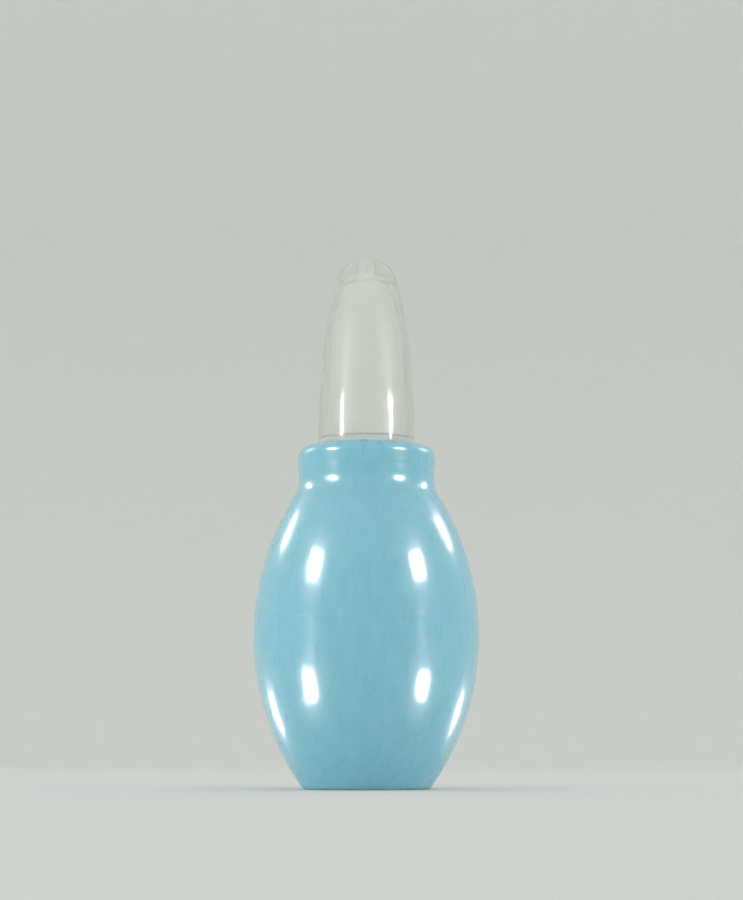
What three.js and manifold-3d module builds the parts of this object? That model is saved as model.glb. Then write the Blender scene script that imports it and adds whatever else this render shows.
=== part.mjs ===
// Nasal aspirator: a soft squeeze bulb with a hard clear nozzle pressed into its mouth.
// Millimetres, +Z up. The origin is the centre of the flat base that the bulb stands on,
// and every piece but the two press zones is a solid of revolution about Z.
import * as THREE from "three";
import { mergeVertices } from "three/addons/utils/BufferGeometryUtils.js";
import Module from "manifold-3d";

const wasm = await Module();
wasm.setup();

// The bulb's outside: a base corner, two long curves that meet at the widest ring, a shallow
// groove for a neck, and a round-edged collar.
const BELLY_RADIUS = 18.2;
const BELLY_HEIGHT = 24.5;
const LOWER_SIDE_CURVE = 41;
const UPPER_SIDE_CURVE = 43;
const BASE_CORNER = 0.8;
const NECK_RADIUS = 11;
const NECK_CURVE = 5.6;
const COLLAR_RADIUS = 11.2;
const COLLAR_LOWER_EDGE = 3;
const COLLAR_UPPER_EDGE = 1.8;
const BULB_HEIGHT = 55.1;

// The bulb's inside: one air chamber, thick-walled at the neck so that the mouth grips the nozzle.
const WALL = 1.8;
const FLOOR = 2.4;
const FLOOR_CORNER = 1.6;
const MOUTH_RADIUS = 6.9;
const MOUTH_EDGE = 0.5;
const MOUTH_LENGTH = 9.2;
const CEILING_DROP = 0.8;

// Where thumb and finger press: one oval of the bulb's wall in front and one behind.
const PRESS_HALF_WIDTH = 12;
const PRESS_HALF_HEIGHT = 15;

// Room left between neighbours, so that no two solids share a face.
const GAP = 0.3;

// The nozzle, with heights from its seat on the collar. Its side is one Bezier curve.
const NOZZLE_SIDE = [[7.9, 0.4], [7.7, 13.1], [6.75, 21.6], [4.75, 28]];
const SEAT_EDGE = 0.3;
const TIP_DOME = 3.9;
const TIP_HOLE_RADIUS = 1.35;
const TIP_HOLE_EDGE = 0.4;
const CHAMBER_SIDE = [[6.5, 1.4], [6.4, 13.1], [5.7, 20.9], [3.9, 25.9]];
const CHAMBER_DOME = 2.7;
const CHAMBER_FLOOR = 0.9;
const THROAT_RADIUS = 4.3;
const THROAT_EDGE = 0.4;
const PLUG_RADIUS = 6.3;
const PLUG_LENGTH = 9.9;
const PLUG_END_RADIUS = 5.6;
const PLUG_TAPER = 1.3;
const RIB_RADIUS = MOUTH_RADIUS - GAP;
const RIB_HEIGHTS = [-7, -4.6, -2.2];
const RIB_HALF_WIDTH = 0.7;

const BULB_SEGMENTS = 48;
const NOZZLE_SEGMENTS = 40;
const PRESS_SEGMENTS = 24;

const BULB_COLOUR = 0x8fc7d6;
const NOZZLE_COLOUR = 0xdde4dc;

const QUARTER = Math.PI / 2;

/** A point of a profile: its distance from the axis, and its height. */
function at(radius, height) {
  return new THREE.Vector2(radius, height);
}

/** Points on a circle about centre, with angles from the outward direction towards +Z. */
function arc(centre, radius, from, to, steps) {
  const points = [];
  for (let i = 0; i <= steps; i += 1) {
    const angle = from + ((to - from) * i) / steps;
    points.push(at(centre.x + radius * Math.cos(angle), centre.y + radius * Math.sin(angle)));
  }
  return points;
}

/** Points on the cubic Bezier curve with four control points. */
function bezier(controls, steps) {
  const vectors = controls.map(([radius, height]) => at(radius, height));
  return new THREE.CubicBezierCurve(...vectors).getPoints(steps);
}

/** The centre of the arc that carries on smoothly, to the left, from the end of a Bezier side. */
function domeCentre(controls, radius) {
  const end = at(...controls[3]);
  const along = end.clone().sub(at(...controls[2])).normalize();
  return at(end.x - along.y * radius, end.y + along.x * radius);
}

/** One profile from several stretches, without the points that two of them share. */
function joined(...stretches) {
  const points = [];
  for (const point of stretches.flat()) {
    const last = points[points.length - 1];
    if (!last || last.distanceTo(point) > 1e-4) {
      points.push(point);
    }
  }
  return points;
}

/** The direction from one centre to another, as an angle. */
function heading(from, to) {
  return Math.atan2(to.y - from.y, to.x - from.x);
}

/** The height above centre of a point that is this far from it and this far to its side. */
function rise(distance, sideways) {
  return Math.sqrt(distance ** 2 - sideways ** 2);
}

/** A closed geometry as a manifold solid. */
function toSolid(geometry) {
  geometry.deleteAttribute("normal");
  geometry.deleteAttribute("uv");
  const merged = mergeVertices(geometry, 1e-4);
  const corners = merged.index.array;
  const kept = [];
  for (let i = 0; i < corners.length; i += 3) {
    const [a, b, c] = corners.slice(i, i + 3);
    if (a !== b && b !== c && c !== a) {
      kept.push(a, b, c);
    }
  }
  return new wasm.Manifold(new wasm.Mesh({
    numProp: 3,
    vertProperties: new Float32Array(merged.attributes.position.array),
    triVerts: new Uint32Array(kept),
  }));
}

/** A profile turned about Z. */
function turned(profile, segments) {
  const lathe = new THREE.LatheGeometry(profile, segments);
  return toSolid(lathe.rotateX(QUARTER));
}

/** A solid as a named mesh in its own material. */
function piece(name, solid, colour, roughness) {
  const { vertProperties, triVerts } = solid.getMesh();
  const geometry = new THREE.BufferGeometry();
  geometry.setAttribute("position", new THREE.BufferAttribute(vertProperties, 3));
  geometry.setIndex(new THREE.BufferAttribute(triVerts, 1));
  geometry.computeVertexNormals();
  const material = new THREE.MeshStandardMaterial({ color: colour, roughness, metalness: 0 });
  const mesh = new THREE.Mesh(geometry, material);
  mesh.name = name;
  return mesh;
}

/** The bulb's outside from the middle of its base to the collar's top. */
function bulbOutside() {
  const low = at(BELLY_RADIUS - LOWER_SIDE_CURVE, BELLY_HEIGHT);
  const high = at(BELLY_RADIUS - UPPER_SIDE_CURVE, BELLY_HEIGHT);
  const corner = at(0, BASE_CORNER);
  corner.x = low.x + rise(LOWER_SIDE_CURVE - BASE_CORNER, low.y - corner.y);
  const neck = at(NECK_RADIUS + NECK_CURVE, 0);
  neck.y = high.y + rise(UPPER_SIDE_CURVE + NECK_CURVE, neck.x - high.x);
  const lowerEdge = at(COLLAR_RADIUS - COLLAR_LOWER_EDGE, 0);
  lowerEdge.y = neck.y + rise(NECK_CURVE + COLLAR_LOWER_EDGE, neck.x - lowerEdge.x);
  const upperEdge = at(COLLAR_RADIUS - COLLAR_UPPER_EDGE, BULB_HEIGHT - COLLAR_UPPER_EDGE);
  const cornerEnd = heading(low, corner);
  const sideEnd = heading(high, neck);
  const neckEnd = heading(neck, lowerEdge);
  return joined(
    [at(0, 0)],
    arc(corner, BASE_CORNER, -QUARTER, cornerEnd, 3),
    arc(low, LOWER_SIDE_CURVE, cornerEnd, 0, 8),
    arc(high, UPPER_SIDE_CURVE, 0, sideEnd, 8),
    arc(neck, NECK_CURVE, sideEnd + Math.PI, neckEnd, 4),
    arc(lowerEdge, COLLAR_LOWER_EDGE, neckEnd - Math.PI, 0, 2),
    arc(upperEdge, COLLAR_UPPER_EDGE, 0, QUARTER, 4),
  );
}

/** The bulb's inside from the mouth's edge down to the middle of the floor. */
function bulbInside() {
  const low = at(BELLY_RADIUS - LOWER_SIDE_CURVE, BELLY_HEIGHT);
  const high = at(BELLY_RADIUS - UPPER_SIDE_CURVE, BELLY_HEIGHT);
  const mouthEdge = at(MOUTH_RADIUS + MOUTH_EDGE, BULB_HEIGHT - MOUTH_EDGE);
  const ceiling = BULB_HEIGHT - MOUTH_LENGTH;
  const sideTop = Math.asin((ceiling - CEILING_DROP - high.y) / (UPPER_SIDE_CURVE - WALL));
  const corner = at(0, FLOOR + FLOOR_CORNER);
  corner.x = low.x + rise(LOWER_SIDE_CURVE - WALL - FLOOR_CORNER, low.y - corner.y);
  const cornerEnd = heading(low, corner);
  return joined(
    arc(mouthEdge, MOUTH_EDGE, QUARTER, 2 * QUARTER, 2),
    [at(MOUTH_RADIUS, ceiling)],
    arc(high, UPPER_SIDE_CURVE - WALL, sideTop, 0, 6),
    arc(low, LOWER_SIDE_CURVE - WALL, 0, cornerEnd, 6),
    arc(corner, FLOOR_CORNER, cornerEnd, -QUARTER, 3),
    [at(0, FLOOR)],
  );
}

/** The plug's outside from its end up to the seat, with its sealing ribs. */
function plugOutside() {
  const points = [at(PLUG_END_RADIUS, -PLUG_LENGTH), at(PLUG_RADIUS, PLUG_TAPER - PLUG_LENGTH)];
  for (const height of RIB_HEIGHTS) {
    points.push(at(PLUG_RADIUS, height - RIB_HALF_WIDTH));
    points.push(at(RIB_RADIUS, height));
    points.push(at(PLUG_RADIUS, height + RIB_HALF_WIDTH));
  }
  points.push(at(PLUG_RADIUS, 0));
  return points;
}

/** The nozzle's whole section: plug, side, dome, tip hole, inner chamber and throat. */
function nozzleProfile() {
  const seatRadius = NOZZLE_SIDE[0][0];
  const dome = domeCentre(NOZZLE_SIDE, TIP_DOME);
  const domeStart = heading(dome, at(...NOZZLE_SIDE[3]));
  const lip = at(TIP_HOLE_RADIUS + TIP_HOLE_EDGE, 0);
  lip.y = dome.y + rise(TIP_DOME - TIP_HOLE_EDGE, lip.x - dome.x);
  const lipStart = heading(dome, lip);
  const inner = domeCentre(CHAMBER_SIDE, CHAMBER_DOME);
  const innerStart = heading(inner, at(...CHAMBER_SIDE[3]));
  const innerEnd = Math.acos((TIP_HOLE_RADIUS - inner.x) / CHAMBER_DOME);
  const throatEdge = at(THROAT_RADIUS + THROAT_EDGE, CHAMBER_FLOOR - THROAT_EDGE);
  const floorOuter = at(CHAMBER_SIDE[0][0] - THROAT_EDGE, CHAMBER_FLOOR);
  return joined(
    [at(THROAT_RADIUS, -PLUG_LENGTH)],
    plugOutside(),
    [at(seatRadius - SEAT_EDGE, 0), at(seatRadius, SEAT_EDGE)],
    bezier(NOZZLE_SIDE, 10),
    arc(dome, TIP_DOME, domeStart, lipStart, 5),
    arc(lip, TIP_HOLE_EDGE, lipStart, 2 * QUARTER, 3),
    arc(inner, CHAMBER_DOME, innerEnd, innerStart, 3),
    bezier(CHAMBER_SIDE, 8).reverse(),
    [floorOuter],
    arc(throatEdge, THROAT_EDGE, QUARTER, 2 * QUARTER, 2),
    [at(THROAT_RADIUS, -PLUG_LENGTH)],
  );
}

/** An oval bar along Y that reaches out through the bulb's wall, wider all round by margin. */
function pressBar(margin, turn) {
  const oval = new THREE.Shape();
  oval.absellipse(0, 0, PRESS_HALF_WIDTH + margin, PRESS_HALF_HEIGHT + margin, 0, 4 * QUARTER);
  const bar = new THREE.ExtrudeGeometry(oval, {
    depth: BELLY_RADIUS + GAP,
    curveSegments: PRESS_SEGMENTS,
    bevelEnabled: false,
  });
  bar.rotateX(QUARTER).rotateZ(turn).translate(0, 0, BELLY_HEIGHT);
  return toSolid(bar);
}

const FRONT = 0;
const BACK = Math.PI;

const bulbSkin = turned(joined(bulbOutside(), bulbInside()), BULB_SEGMENTS);
const bulbBody = bulbSkin.subtract(pressBar(GAP, FRONT)).subtract(pressBar(GAP, BACK));
const nozzleBody = turned(nozzleProfile(), NOZZLE_SEGMENTS);

const aspirator = new THREE.Group();
aspirator.name = "nasal_aspirator";
aspirator.add(piece("bulb", bulbBody, BULB_COLOUR, 0.35));
aspirator.add(piece("press_zone_front", bulbSkin.intersect(pressBar(0, FRONT)), BULB_COLOUR, 0.35));
aspirator.add(piece("press_zone_back", bulbSkin.intersect(pressBar(0, BACK)), BULB_COLOUR, 0.35));

const nozzle = piece("nozzle", nozzleBody, NOZZLE_COLOUR, 0.08);
nozzle.position.z = BULB_HEIGHT + GAP;
aspirator.add(nozzle);

export default aspirator;
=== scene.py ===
"""Nasal aspirator: a light-blue squeeze bulb and a clear nozzle on a pale studio floor. Metres, +Z up."""

import math

import bpy
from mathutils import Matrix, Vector


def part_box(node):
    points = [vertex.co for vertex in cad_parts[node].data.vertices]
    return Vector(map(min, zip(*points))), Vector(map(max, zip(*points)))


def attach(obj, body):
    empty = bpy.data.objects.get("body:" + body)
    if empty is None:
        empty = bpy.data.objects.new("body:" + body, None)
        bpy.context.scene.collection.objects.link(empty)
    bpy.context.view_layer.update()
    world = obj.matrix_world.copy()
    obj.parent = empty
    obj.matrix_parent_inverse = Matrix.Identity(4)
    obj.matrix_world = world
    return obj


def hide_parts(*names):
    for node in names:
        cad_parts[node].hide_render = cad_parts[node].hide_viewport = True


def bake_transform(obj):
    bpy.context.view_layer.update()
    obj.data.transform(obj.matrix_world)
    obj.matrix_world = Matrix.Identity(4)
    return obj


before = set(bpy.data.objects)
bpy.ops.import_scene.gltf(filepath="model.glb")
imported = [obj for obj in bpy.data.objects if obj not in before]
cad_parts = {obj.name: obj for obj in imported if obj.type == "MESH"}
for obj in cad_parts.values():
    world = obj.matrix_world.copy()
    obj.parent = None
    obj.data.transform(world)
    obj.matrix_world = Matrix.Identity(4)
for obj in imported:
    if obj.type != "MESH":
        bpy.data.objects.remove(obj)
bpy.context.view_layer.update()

MM = 0.001
MICRON = 0.001 * MM
QUARTER = math.pi / 2

# The CAD pieces that everything is placed by.
bulb_low, bulb_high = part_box("bulb")
nozzle_low, nozzle_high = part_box("nozzle")

# The bulb's outside.
BELLY_RADIUS = bulb_high.x
BELLY_HEIGHT = 24.5 * MM
LOWER_SIDE_CURVE = 41 * MM
UPPER_SIDE_CURVE = 43 * MM
BASE_CORNER = 0.8 * MM
BASE_DISH = 0.35 * MM
BASE_RIM = 1.6 * MM
NECK_RADIUS = 11 * MM
NECK_CURVE = 5.6 * MM
COLLAR_RADIUS = 11.2 * MM
COLLAR_LOWER_EDGE = 3 * MM
COLLAR_UPPER_EDGE = 1.8 * MM
BULB_HEIGHT = bulb_high.z
GATE_RADIUS = 1.3 * MM
GATE_NUB = 0.22 * MM
PARTING_RIDGE = 0.035 * MM
PARTING_WIDTH = 0.25 * MM
PARTING_FADE = 2 * MM
PARTING_INNER_RADIUS = 6 * MM
MOULD_RING_HEIGHT = 26.7 * MM
MOULD_RING_RIDGE = 0.018 * MM
MOULD_RING_WIDTH = 0.12 * MM

# The bulb's inside.
WALL = 1.8 * MM
FLOOR_THICKNESS = 2.4 * MM
FLOOR_CORNER = 1.6 * MM
MOUTH_RADIUS = 6.9 * MM
MOUTH_EDGE = 0.5 * MM
MOUTH_LENGTH = 9.2 * MM
CEILING_DROP = 0.8 * MM

# The nozzle, with heights from its seat. The plug's end and the tip stay where the CAD has them,
# and the seat comes down to within a hair of the collar.
SEAT_HEIGHT = BULB_HEIGHT + 0.3 * MM
SEAT_LOWERED = 0.28 * MM
NOZZLE_SIDE = [(7.9, 0.4), (7.7, 13.1), (6.75, 21.6), (4.75, 28)]
SEAT_EDGE = 0.3 * MM
TIP_DOME = 3.9 * MM
TIP_HOLE_RADIUS = 1.35 * MM
TIP_HOLE_EDGE = 0.4 * MM
CHAMBER_SIDE = [(6.5, 1.4), (6.4, 13.1), (5.7, 20.9), (3.9, 25.9)]
CHAMBER_DOME = 2.7 * MM
CHAMBER_FLOOR = 0.9 * MM
THROAT_RADIUS = 4.3 * MM
THROAT_EDGE = 0.4 * MM
PLUG_RADIUS = 6.3 * MM
PLUG_END_RADIUS = 5.6 * MM
PLUG_TAPER = 1.3 * MM
PLUG_LENGTH = SEAT_HEIGHT - nozzle_low.z
RIB_RADIUS = 6.6 * MM
RIB_HEIGHTS = [-7 * MM, -4.6 * MM, -2.2 * MM]
RIB_HALF_WIDTH = 0.7 * MM

HALF_SEGMENTS = 96
NOZZLE_SEGMENTS = 160

# The nozzle's vertex attribute that is 1 on its inner surface.
INSIDE = "inside"

# Edges that turn by more than this many degrees stay sharp.
SHARP_EDGE = 40


# Profiles: lists of (radius, height) points.

def arc(centre, radius, start, end, steps):
    """Points on a circle about centre, with angles from the outward direction towards +Z."""
    angles = [start + (end - start) * i / steps for i in range(steps + 1)]
    return [(centre[0] + radius * math.cos(a), centre[1] + radius * math.sin(a)) for a in angles]


def bezier(controls, steps):
    """Points on the cubic Bezier curve with four control points."""
    points = []
    for i in range(steps + 1):
        t = i / steps
        share = ((1 - t) ** 3, 3 * t * (1 - t) ** 2, 3 * t * t * (1 - t), t ** 3)
        points.append(tuple(sum(s * c[k] for s, c in zip(share, controls)) for k in range(2)))
    return points


def in_metres(controls):
    return [(radius * MM, height * MM) for radius, height in controls]


def dome_centre(controls, radius):
    """The centre of the arc that carries on smoothly, to the left, from the end of a Bezier side."""
    along = (Vector(controls[3]) - Vector(controls[2])).normalized()
    return (controls[3][0] - along.y * radius, controls[3][1] + along.x * radius)


def heading(a, b):
    return math.atan2(b[1] - a[1], b[0] - a[0])


def rise(distance, sideways):
    return math.sqrt(distance ** 2 - sideways ** 2)


def line(a, b, steps):
    return [(a[0] + (b[0] - a[0]) * i / steps, a[1] + (b[1] - a[1]) * i / steps)
            for i in range(steps + 1)]


def joined(*stretches):
    """One profile from several stretches, without the points that two of them share."""
    points = []
    for point in (p for stretch in stretches for p in stretch):
        if not points or math.dist(points[-1], point) > 1e-7:
            points.append(point)
    return points


LOW_CENTRE = (BELLY_RADIUS - LOWER_SIDE_CURVE, BELLY_HEIGHT)
HIGH_CENTRE = (BELLY_RADIUS - UPPER_SIDE_CURVE, BELLY_HEIGHT)


def mould_ring(start, end, steps=12):
    """The hair-thin line round the belly where the mould's two halves met."""
    points = []
    for i in range(steps + 1):
        t = 2 * i / steps - 1
        angle = start + (end - start) * i / steps
        radius = UPPER_SIDE_CURVE + MOULD_RING_RIDGE * math.exp(-4 * t * t) * (1 - t * t)
        points.append(arc(HIGH_CENTRE, radius, angle, angle, 1)[0])
    return points


def bulb_outside():
    """From the middle of the base to the collar's top."""
    corner_x = LOW_CENTRE[0] + rise(LOWER_SIDE_CURVE - BASE_CORNER, BELLY_HEIGHT - BASE_CORNER)
    corner = (corner_x, BASE_CORNER)
    neck_x = NECK_RADIUS + NECK_CURVE
    neck = (neck_x, BELLY_HEIGHT + rise(UPPER_SIDE_CURVE + NECK_CURVE, neck_x - HIGH_CENTRE[0]))
    lower_x = COLLAR_RADIUS - COLLAR_LOWER_EDGE
    lower = (lower_x, neck[1] + rise(NECK_CURVE + COLLAR_LOWER_EDGE, neck_x - lower_x))
    upper = (COLLAR_RADIUS - COLLAR_UPPER_EDGE, BULB_HEIGHT - COLLAR_UPPER_EDGE)
    corner_end = heading(LOW_CENTRE, corner)
    side_end = heading(HIGH_CENTRE, neck)
    neck_end = heading(neck, lower)
    dish_radius = corner_x - BASE_RIM
    ring_middle = math.asin((MOULD_RING_HEIGHT - BELLY_HEIGHT) / UPPER_SIDE_CURVE)
    ring_start = ring_middle - 2 * MOULD_RING_WIDTH / UPPER_SIDE_CURVE
    ring_end = ring_middle + 2 * MOULD_RING_WIDTH / UPPER_SIDE_CURVE
    return joined(
        line((0, BASE_DISH - GATE_NUB), (GATE_RADIUS, BASE_DISH - GATE_NUB), 2),
        line((GATE_RADIUS + GATE_NUB, BASE_DISH), (dish_radius - BASE_DISH, BASE_DISH), 6),
        line((dish_radius, 0), (corner_x, 0), 2),
        arc(corner, BASE_CORNER, -QUARTER, corner_end, 8),
        arc(LOW_CENTRE, LOWER_SIDE_CURVE, corner_end, 0, 44),
        arc(HIGH_CENTRE, UPPER_SIDE_CURVE, 0, ring_start, 3),
        mould_ring(ring_start, ring_end),
        arc(HIGH_CENTRE, UPPER_SIDE_CURVE, ring_end, side_end, 44),
        arc(neck, NECK_CURVE, side_end + math.pi, neck_end, 14),
        arc(lower, COLLAR_LOWER_EDGE, neck_end - math.pi, 0, 6),
        arc(upper, COLLAR_UPPER_EDGE, 0, QUARTER, 12),
    )


def bulb_inside():
    """From the mouth's edge down to the middle of the floor."""
    edge = (MOUTH_RADIUS + MOUTH_EDGE, BULB_HEIGHT - MOUTH_EDGE)
    ceiling = BULB_HEIGHT - MOUTH_LENGTH
    inner_upper = UPPER_SIDE_CURVE - WALL
    side_top = math.asin((ceiling - CEILING_DROP - BELLY_HEIGHT) / inner_upper)
    corner_z = FLOOR_THICKNESS + FLOOR_CORNER
    reach = LOWER_SIDE_CURVE - WALL - FLOOR_CORNER
    corner = (LOW_CENTRE[0] + rise(reach, BELLY_HEIGHT - corner_z), corner_z)
    corner_end = heading(LOW_CENTRE, corner)
    return joined(
        arc(edge, MOUTH_EDGE, QUARTER, math.pi, 6),
        line((MOUTH_RADIUS, BULB_HEIGHT - MOUTH_EDGE), (MOUTH_RADIUS, ceiling), 4),
        arc(HIGH_CENTRE, inner_upper, side_top, 0, 20),
        arc(LOW_CENTRE, LOWER_SIDE_CURVE - WALL, 0, corner_end, 20),
        arc(corner, FLOOR_CORNER, corner_end, -QUARTER, 5),
        line((corner[0], FLOOR_THICKNESS), (0, FLOOR_THICKNESS), 4),
    )


def rib(height, steps):
    """A sealing rib on the plug: a smooth ring."""
    points = []
    for i in range(steps + 1):
        t = i / steps
        bulge = (1 - math.cos(2 * math.pi * t)) / 2
        radius = PLUG_RADIUS + (RIB_RADIUS - PLUG_RADIUS) * bulge
        points.append((radius, height + RIB_HALF_WIDTH * (2 * t - 1)))
    return points


def nozzle_profiles():
    """Two stretches that close on each other: the outside, plug to tip hole, and the inside, back down."""
    side = in_metres(NOZZLE_SIDE)
    chamber = in_metres(CHAMBER_SIDE)
    dome = dome_centre(side, TIP_DOME)
    lip_x = TIP_HOLE_RADIUS + TIP_HOLE_EDGE
    lip = (lip_x, dome[1] + rise(TIP_DOME - TIP_HOLE_EDGE, lip_x - dome[0]))
    inner = dome_centre(chamber, CHAMBER_DOME)
    inner_end = math.acos((TIP_HOLE_RADIUS - inner[0]) / CHAMBER_DOME)
    hole_end = (TIP_HOLE_RADIUS, inner[1] + CHAMBER_DOME * math.sin(inner_end))
    throat = (THROAT_RADIUS + THROAT_EDGE, CHAMBER_FLOOR - THROAT_EDGE)
    floor_corner = (chamber[0][0] - THROAT_EDGE, CHAMBER_FLOOR + THROAT_EDGE)
    seat = (side[0][0] - SEAT_EDGE, SEAT_EDGE - SEAT_LOWERED)
    ribs = [p for height in RIB_HEIGHTS for p in rib(height, 10)]
    outside = joined(
        line((THROAT_RADIUS + THROAT_EDGE, -PLUG_LENGTH), (PLUG_END_RADIUS, -PLUG_LENGTH), 2),
        [(PLUG_RADIUS, PLUG_TAPER - PLUG_LENGTH)],
        ribs,
        line((PLUG_RADIUS, -SEAT_LOWERED), (seat[0], -SEAT_LOWERED), 2),
        arc(seat, SEAT_EDGE, -QUARTER, 0, 5),
        bezier(side, 48),
        arc(dome, TIP_DOME, heading(dome, side[3]), heading(dome, lip), 18),
        arc(lip, TIP_HOLE_EDGE, heading(dome, lip), math.pi, 9),
    )
    inside = joined(
        line((TIP_HOLE_RADIUS, lip[1] - TIP_HOLE_EDGE / 2), hole_end, 5),
        arc(inner, CHAMBER_DOME, inner_end, heading(inner, chamber[3]), 10),
        bezier(chamber, 40)[::-1],
        arc(floor_corner, THROAT_EDGE, 0, -QUARTER, 4),
        arc(throat, THROAT_EDGE, QUARTER, math.pi, 5),
        line((THROAT_RADIUS, throat[1]), (THROAT_RADIUS, THROAT_EDGE - PLUG_LENGTH), 8),
    )
    return [[(radius, height + SEAT_HEIGHT) for radius, height in part] for part in (outside, inside)]


# Meshes.

def mesh_piece(name, vertices, faces, material):
    mesh = bpy.data.meshes.new(name)
    mesh.from_pydata(vertices, [], faces)
    mesh.validate()
    mesh.materials.append(material)
    piece = bpy.data.objects.new(name, mesh)
    bpy.context.scene.collection.objects.link(piece)
    return piece


def shade_smooth_by_angle(piece, degrees):
    """Smooth faces, with the edges that turn by more than this many degrees kept sharp."""
    bpy.context.view_layer.objects.active = piece
    piece.select_set(True)
    bpy.ops.object.shade_smooth_by_angle(angle=math.radians(degrees))
    piece.select_set(False)


def turned_points(profile, segments):
    """The profile's points, repeated all the way about Z."""
    points = []
    for i in range(segments):
        angle = 2 * math.pi * i / segments
        points += [(r * math.cos(angle), r * math.sin(angle), z) for r, z in profile]
    return points


def full_turn(name, profile, segments, material):
    """A closed profile turned all the way about Z."""
    count = len(profile)
    faces = []
    for i in range(segments):
        here = i * count
        there = (i + 1) % segments * count
        for k in range(count):
            nxt = (k + 1) % count
            faces.append((here + k, there + k, there + nxt, here + nxt))
    return mesh_piece(name, turned_points(profile, segments), faces, material)


def parting_bulge(angle, radius, height):
    """How far the moulding line at the edge of each half stands out."""
    reach = radius * math.sin(angle)
    fade = min(1.0, height / PARTING_FADE)
    return PARTING_RIDGE * fade * math.exp(-(reach / PARTING_WIDTH) ** 2)


def half_turn(name, outside, inside, side, material):
    """Half of a hollow body of revolution, on the side of the mid-plane that side (-1 or 1) says."""
    profile = outside + inside
    last_outside = len(outside) - 1
    turns = half_angles()
    vertices = []
    for angle in turns:
        for k, (r, z) in enumerate(profile):
            outer = r > PARTING_INNER_RADIUS and k <= last_outside
            radius = r + parting_bulge(angle, r, z) if outer else r
            vertices.append((radius * math.cos(angle), side * radius * math.sin(angle), z))
    count = len(profile)
    faces = []
    for i in range(len(turns) - 1):
        for k in range(count - 1):
            a, b = i * count + k, (i + 1) * count + k
            quad = (a, b, b + 1, a + 1)
            faces.append(quad if side > 0 else quad[::-1])
    faces += end_faces(count, len(turns), side)
    piece = mesh_piece(name, vertices, faces, material)
    weld(piece)
    return piece


def half_angles():
    """Angles from one edge of a half to the other, closer together at the edges."""
    near = [PARTING_WIDTH / BELLY_RADIUS * k / 3 for k in range(9)]
    start = near[-1]
    middle = [start + (math.pi - 2 * start) * i / HALF_SEGMENTS for i in range(1, HALF_SEGMENTS)]
    return near + middle + [math.pi - a for a in reversed(near)]


def end_faces(count, columns, side):
    """The two flat cut faces of a half, where it meets the other half."""
    first = list(range(count))
    last = [(columns - 1) * count + k for k in range(count)]
    if side > 0:
        return [first, last[::-1]]
    return [first[::-1], last]


def weld(piece):
    """Joins the points that fall together on the axis."""
    bpy.context.view_layer.objects.active = piece
    weld_modifier = piece.modifiers.new("weld", "WELD")
    weld_modifier.merge_threshold = 1e-7
    bpy.ops.object.modifier_apply(modifier=weld_modifier.name)


# Materials.

def new_material(name):
    material = bpy.data.materials.new(name)
    material.use_nodes = True
    tree = material.node_tree
    shader = tree.nodes["Principled BSDF"]
    return material, tree, shader


def set_inputs(node, values):
    for socket, value in values.items():
        node.inputs[socket].default_value = value


def stretched(tree, stretch):
    """Object coordinates, scaled on each axis, so that a noise drawn on them runs in lines."""
    place = tree.nodes.new("ShaderNodeTexCoord").outputs["Object"]
    mapping = tree.nodes.new("ShaderNodeMapping")
    mapping.inputs["Scale"].default_value = stretch
    tree.links.new(place, mapping.inputs["Vector"])
    return mapping.outputs["Vector"]


def noise(tree, scale, detail, stretch=(1, 1, 1)):
    """Noise with scale waves to the metre, and fewer along an axis where stretch is under 1."""
    node = tree.nodes.new("ShaderNodeTexNoise")
    set_inputs(node, {"Scale": scale, "Detail": detail})
    tree.links.new(stretched(tree, stretch), node.inputs["Vector"])
    return node.outputs["Fac"]


def remap(tree, value, low, high, out_low, out_high):
    """Value, with low to high spread over out_low to out_high and held at both ends."""
    node = tree.nodes.new("ShaderNodeMapRange")
    set_inputs(node, {"From Min": low, "From Max": high, "To Min": out_low, "To Max": out_high})
    tree.links.new(value, node.inputs["Value"])
    return node.outputs["Result"]


def combine(tree, operation, first, second):
    """First and second, each a socket or a number, through one Math node."""
    node = tree.nodes.new("ShaderNodeMath")
    node.operation = operation
    for socket, value in zip(node.inputs, (first, second)):
        if isinstance(value, bpy.types.NodeSocket):
            tree.links.new(value, socket)
        else:
            socket.default_value = value
    return node.outputs["Value"]


def bump(tree, height, distance, normal=None):
    """A bump of this height in metres, on top of another bump's normal."""
    node = tree.nodes.new("ShaderNodeBump")
    node.inputs["Distance"].default_value = distance
    tree.links.new(height, node.inputs["Height"])
    if normal:
        tree.links.new(normal, node.inputs["Normal"])
    return node.outputs["Normal"]


# The soft vinyl: how deep its bumps are, from its orange peel to its scratches.
PEEL_DEPTH = 10 * MICRON
LINE_DEPTH = 0.9 * MICRON
GLOSS_LINE_DEPTH = 4 * MICRON
SCRATCH_DEPTH = 14 * MICRON
DARK_BLUE = (0.189, 0.457, 0.561, 1)
LIGHT_BLUE = (0.210, 0.488, 0.592, 1)


def scuffs(tree):
    """Short fine scratches in patches: 0 on a clean surface and 1 in a scratch."""
    upright = remap(tree, noise(tree, 2100, 2, (1, 1, 0.13)), 0.58, 0.70, 0, 1)
    slanted = remap(tree, noise(tree, 1700, 2, (0.6, 1, 0.35)), 0.60, 0.72, 0, 1)
    patches = remap(tree, noise(tree, 150, 2), 0.49, 0.60, 0, 1)
    return combine(tree, "MULTIPLY", combine(tree, "MAXIMUM", upright, slanted), patches)


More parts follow.
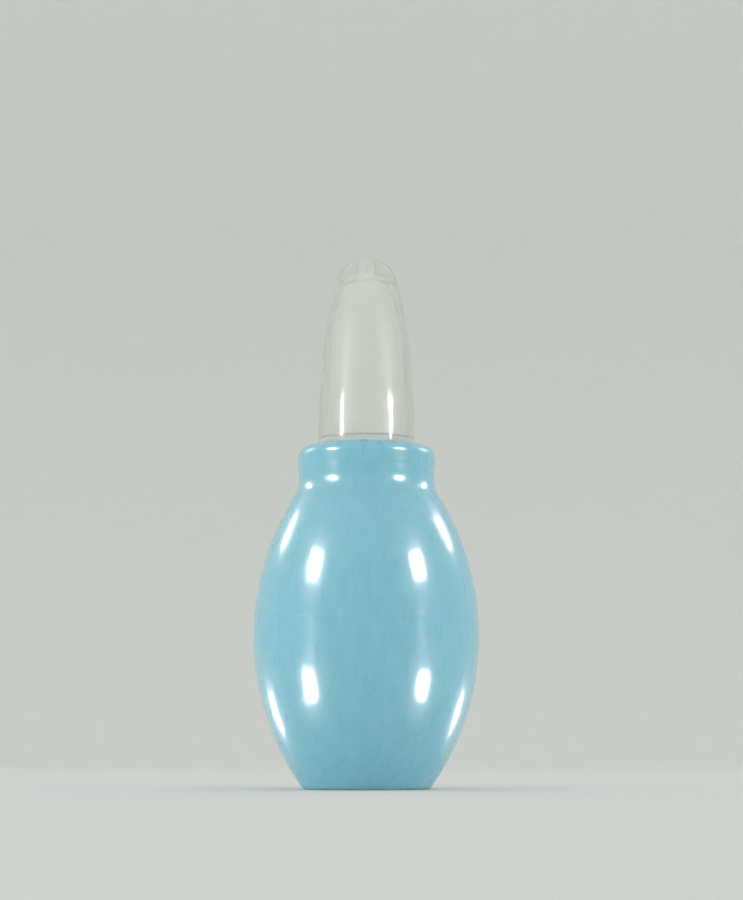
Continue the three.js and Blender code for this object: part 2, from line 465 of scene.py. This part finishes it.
def soft_vinyl():
    """Glossy soft vinyl with a faint mottle, upright draw lines, turning lines and light scuffs."""
    material, tree, shader = new_material("soft_bulb")
    mottle = noise(tree, 620, 5, (1, 1, 0.45))
    ramp = tree.nodes.new("ShaderNodeValToRGB")
    ramp.color_ramp.elements[0].position = 0.32
    ramp.color_ramp.elements[0].color = DARK_BLUE
    ramp.color_ramp.elements[1].position = 0.68
    ramp.color_ramp.elements[1].color = LIGHT_BLUE
    tree.links.new(mottle, ramp.inputs["Fac"])
    tree.links.new(ramp.outputs["Color"], shader.inputs["Base Color"])
    upright = noise(tree, 1300, 3, (1, 1, 0.05))
    turned = noise(tree, 1500, 3, (0.03, 0.03, 1))
    peel = noise(tree, 420, 2)
    worn = scuffs(tree)
    grain = combine(tree, "ADD", combine(tree, "MULTIPLY", upright, 0.5), turned)
    drawn = remap(tree, noise(tree, 900, 3, (1, 1, 0.25)), 0.3, 0.7, 0.265, 0.3)
    rough = combine(tree, "ADD", drawn, combine(tree, "MULTIPLY", worn, 0.015))
    tree.links.new(rough, shader.inputs["Roughness"])
    waves = bump(tree, peel, PEEL_DEPTH)
    lines = bump(tree, grain, LINE_DEPTH, waves)
    gloss_lines = bump(tree, grain, GLOSS_LINE_DEPTH, waves)
    scratched = bump(tree, combine(tree, "MULTIPLY", worn, -1), SCRATCH_DEPTH, gloss_lines)
    tree.links.new(lines, shader.inputs["Normal"])
    tree.links.new(scratched, shader.inputs["Coat Normal"])
    set_inputs(shader, {
        "Specular IOR Level": 0.35,
        "Subsurface Weight": 0.25,
        "Subsurface Radius": (0.6, 1.0, 1.1),
        "Subsurface Scale": 1.5 * MM,
        "Coat Weight": 0.72,
        "Coat Roughness": 0.1,
        "Coat IOR": 1.5,
    })
    return material


# The clear plastic: how much light goes through its body and through its seat, and its bumps.
CLEAR = 0.78
MILKY = 0.5
SEAT_FADE = 0.2 * MM
DRAW_LINE_DEPTH = 20 * MICRON
WAVE_DEPTH = 40 * MICRON


def clear_plastic():
    """Hard clear plastic: glossy outside, hazy inside, milky at the seat, and dark where it is thick."""
    material, tree, shader = new_material("clear_nozzle")
    inside = tree.nodes.new("ShaderNodeAttribute")
    inside.attribute_name = INSIDE
    haze = remap(tree, noise(tree, 700, 4), 0.35, 0.75, 0.02, 0.05)
    inner_haze = remap(tree, inside.outputs["Fac"], 0, 1, 0, 0.28)
    tree.links.new(combine(tree, "ADD", haze, inner_haze), shader.inputs["Roughness"])
    place = tree.nodes.new("ShaderNodeTexCoord").outputs["Object"]
    height = tree.nodes.new("ShaderNodeSeparateXYZ")
    tree.links.new(place, height.inputs["Vector"])
    seat_top = SEAT_HEIGHT + CHAMBER_FLOOR
    seat_bottom = SEAT_HEIGHT - SEAT_LOWERED
    body = remap(tree, height.outputs["Z"], seat_top - SEAT_FADE, seat_top, MILKY, CLEAR)
    plug = remap(tree, height.outputs["Z"], seat_bottom - SEAT_FADE, seat_bottom, CLEAR, MILKY)
    tree.links.new(combine(tree, "MAXIMUM", body, plug), shader.inputs["Transmission Weight"])
    draw_lines = noise(tree, 900, 3, (1, 1, 0.03))
    waves = noise(tree, 220, 2, (1, 1, 0.4))
    normal = bump(tree, draw_lines, DRAW_LINE_DEPTH, bump(tree, waves, WAVE_DEPTH))
    tree.links.new(normal, shader.inputs["Normal"])
    set_inputs(shader, {"Base Color": (0.975, 0.985, 0.955, 1), "IOR": 1.49})
    depth = tree.nodes.new("ShaderNodeVolumeAbsorption")
    set_inputs(depth, {"Color": (0.62, 0.67, 0.56, 1), "Density": 110})
    tree.links.new(depth.outputs["Volume"], tree.nodes["Material Output"].inputs["Volume"])
    return material


def studio_paint():
    material, _, shader = new_material("studio")
    set_inputs(shader, {"Base Color": (0.815, 0.835, 0.815, 1), "Roughness": 0.9})
    return material


# The object.

def make_bulb(material):
    outside, inside = bulb_outside(), bulb_inside()
    halves = []
    for name, side, body, node in (
        ("bulb_skin_front", -1, "press_front", "press_zone_front"),
        ("bulb_skin_back", 1, "press_back", "press_zone_back"),
    ):
        half = half_turn(name, outside, inside, side, material)
        shade_smooth_by_angle(half, SHARP_EDGE)
        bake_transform(half)
        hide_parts("bulb", node)
        halves.append(half)
    return halves


def make_nozzle(material):
    outside, inside = nozzle_profiles()
    nozzle = full_turn("nozzle_moulding", outside + inside, NOZZLE_SEGMENTS, material)
    marks = [0.0] * len(outside) + [1.0] * len(inside)
    attribute = nozzle.data.attributes.new(INSIDE, "FLOAT", "POINT")
    attribute.data.foreach_set("value", marks * NOZZLE_SEGMENTS)
    shade_smooth_by_angle(nozzle, SHARP_EDGE)
    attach(nozzle, "nozzle")
    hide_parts("nozzle")
    return nozzle


# The studio.

FLOOR_REACH = 0.9
WALL_CURVE = 0.4
WALL_HEIGHT = 0.9
STUDIO_SEGMENTS = 96


def make_studio(material):
    """A pale floor that sweeps up into a wall all round, so that every view has the same ground."""
    sweep_centre = (FLOOR_REACH, WALL_CURVE)
    profile = joined(
        line((0, 0), (FLOOR_REACH, 0), 12),
        arc(sweep_centre, WALL_CURVE, -QUARTER, 0, 16),
        line((FLOOR_REACH + WALL_CURVE, WALL_CURVE), (FLOOR_REACH + WALL_CURVE, WALL_HEIGHT), 2),
    )
    count = len(profile)
    faces = []
    for i in range(STUDIO_SEGMENTS):
        here = i * count
        there = (i + 1) % STUDIO_SEGMENTS * count
        faces += [(here + k + 1, there + k + 1, there + k, here + k) for k in range(count - 1)]
    studio = mesh_piece("studio_floor", turned_points(profile, STUDIO_SEGMENTS), faces, material)
    weld(studio)
    shade_smooth_by_angle(studio, SHARP_EDGE)


# The camera, with heights above the floor.
CAMERA_DISTANCE = 0.35
CAMERA_SIDE = 0.8 * MM
CAMERA_HEIGHT = 5 * MM
AIM_HEIGHT = 54.73 * MM
LENS_MM = 86.62


def make_camera():
    """Almost level with the base, so that the collar and the seat are seen from a little below."""
    data = bpy.data.cameras.new("camera")
    data.sensor_width = 36
    data.lens = LENS_MM
    data.clip_start, data.clip_end = 0.01, 10
    camera = bpy.data.objects.new("camera", data)
    bpy.context.scene.collection.objects.link(camera)
    camera.location = (CAMERA_SIDE, -CAMERA_DISTANCE, CAMERA_HEIGHT)
    aim = Vector((CAMERA_SIDE, 0, AIM_HEIGHT)) - camera.location
    camera.rotation_euler = aim.to_track_quat("-Z", "Y").to_euler()
    bpy.context.scene.camera = camera
    return camera


# The lamps. Each highlight has a turn from the front and a height where it shows on the belly.
BOX_DISTANCE = 0.34
MAIN_BOX = (0.088, 0.075)
EDGE_BOX = (0.028, 0.06)
STREAK_BOX = (0.045, 0.13)
BELLY_HIGHLIGHTS = (
    ("main_upper", 28, 34.6 * MM, MAIN_BOX, 38),
    ("main_lower", 30, 16 * MM, MAIN_BOX, 38),
    ("edge_upper", 54, 40.5 * MM, EDGE_BOX, 38),
    ("edge_lower", 61, 12 * MM, EDGE_BOX, 38),
    ("streak", 28, 24 * MM, STREAK_BOX, 3),
)
NOZZLE_BOX = (0.045, 0.035)
NOZZLE_TURN = 30
NOZZLE_BRIGHTNESS = 90
NOZZLE_LIT_RADIUS = 7.8 * MM
NOZZLE_LIT_HEIGHT = SEAT_HEIGHT + 7 * MM
NOZZLE_LEAN = 0.02
FILL_BOX = (0.12, 0.26)
FILL_TURN = 62
FILL_HEIGHT = BELLY_HEIGHT * 1.6
FILL_BRIGHTNESS = 6.3
RIGHT_SHARE = 0.85
SKY_COLOUR = (1.0, 1.0, 0.985, 1)
SKY_STRENGTH = 0.86


def softbox(name, place, aim, size, brightness):
    """A rectangular light that faces aim. Brightness is its radiance, whatever its size."""
    data = bpy.data.lights.new(name, "AREA")
    data.shape = "RECTANGLE"
    data.size, data.size_y = size
    data.energy = brightness * math.pi * size[0] * size[1]
    light = bpy.data.objects.new(name, data)
    bpy.context.scene.collection.objects.link(light)
    light.location = place
    light.rotation_euler = (Vector(aim) - Vector(place)).to_track_quat("-Z", "Y").to_euler()
    light.visible_camera = False
    return light


def outward(turn, tilt=0):
    """The direction turn degrees round from the front and tilt radians above level."""
    level = Vector((math.sin(math.radians(turn)), -math.cos(math.radians(turn)), 0))
    return level * math.cos(tilt) + Vector((0, 0, math.sin(tilt)))


def belly_surface(turn, height):
    """A point of the belly, turn degrees from the front, and the surface's outward direction there."""
    upper = height > BELLY_HEIGHT
    centre, curve = (HIGH_CENTRE, UPPER_SIDE_CURVE) if upper else (LOW_CENTRE, LOWER_SIDE_CURVE)
    tilt = math.asin((height - BELLY_HEIGHT) / curve)
    radius = centre[0] + curve * math.cos(tilt)
    return outward(turn) * radius + Vector((0, 0, height)), outward(turn, tilt)


def nozzle_surface(turn):
    """A point low on the nozzle's side, where it is almost upright, and its outward direction."""
    spot = outward(turn) * NOZZLE_LIT_RADIUS + Vector((0, 0, NOZZLE_LIT_HEIGHT))
    return spot, outward(turn, NOZZLE_LEAN)


def only(name, pieces):
    """A collection of these pieces, for a light that reaches nothing else."""
    collection = bpy.data.collections.new(name)
    for piece in pieces:
        collection.objects.link(piece)
    return collection


def highlight(name, surface, size, brightness, camera, lit):
    """A softbox that the camera sees reflected at one place. Only the object's gloss shows it."""
    spot, normal = surface
    to_camera = (camera.location - spot).normalized()
    to_light = 2 * normal.dot(to_camera) * normal - to_camera
    light = softbox(name, spot + to_light * BOX_DISTANCE, spot, size, brightness)
    light.visible_diffuse = False
    light.data.cycles.use_multiple_importance_sampling = False
    light.light_linking.receiver_collection = lit
    light.light_linking.blocker_collection = lit


def make_lights(camera, bulb, nozzle):
    """On each side two main boxes, two edge boxes, a dim strip, a nozzle box and a fill; and a sky."""
    bulb_only = only("bulb_only", bulb)
    nozzle_only = only("nozzle_only", [nozzle])
    whole_object = only("object_only", bulb + [nozzle])
    for side, label, share in ((-1, "left", 1.0), (1, "right", RIGHT_SHARE)):
        for name, turn, height, size, brightness in BELLY_HIGHLIGHTS:
            surface = belly_surface(side * turn, height)
            highlight(f"{name}_{label}", surface, size, brightness * share, camera, bulb_only)
        surface = nozzle_surface(side * NOZZLE_TURN)
        brightness = NOZZLE_BRIGHTNESS * share
        highlight(f"nozzle_{label}", surface, NOZZLE_BOX, brightness, camera, nozzle_only)
        place = outward(side * FILL_TURN) * BOX_DISTANCE + Vector((0, 0, FILL_HEIGHT))
        aim = (0, 0, BELLY_HEIGHT)
        fill = softbox(f"fill_{label}", place, aim, FILL_BOX, FILL_BRIGHTNESS * share)
        fill.visible_glossy = False
        fill.light_linking.receiver_collection = whole_object
        fill.light_linking.blocker_collection = whole_object
    world = bpy.data.worlds.new("world")
    bpy.context.scene.world = world
    world.use_nodes = True
    set_inputs(world.node_tree.nodes["Background"], {"Color": SKY_COLOUR, "Strength": SKY_STRENGTH})


bpy.context.scene.view_settings.view_transform = "Standard"
camera = make_camera()
make_studio(studio_paint())
make_lights(camera, make_bulb(soft_vinyl()), make_nozzle(clear_plastic()))
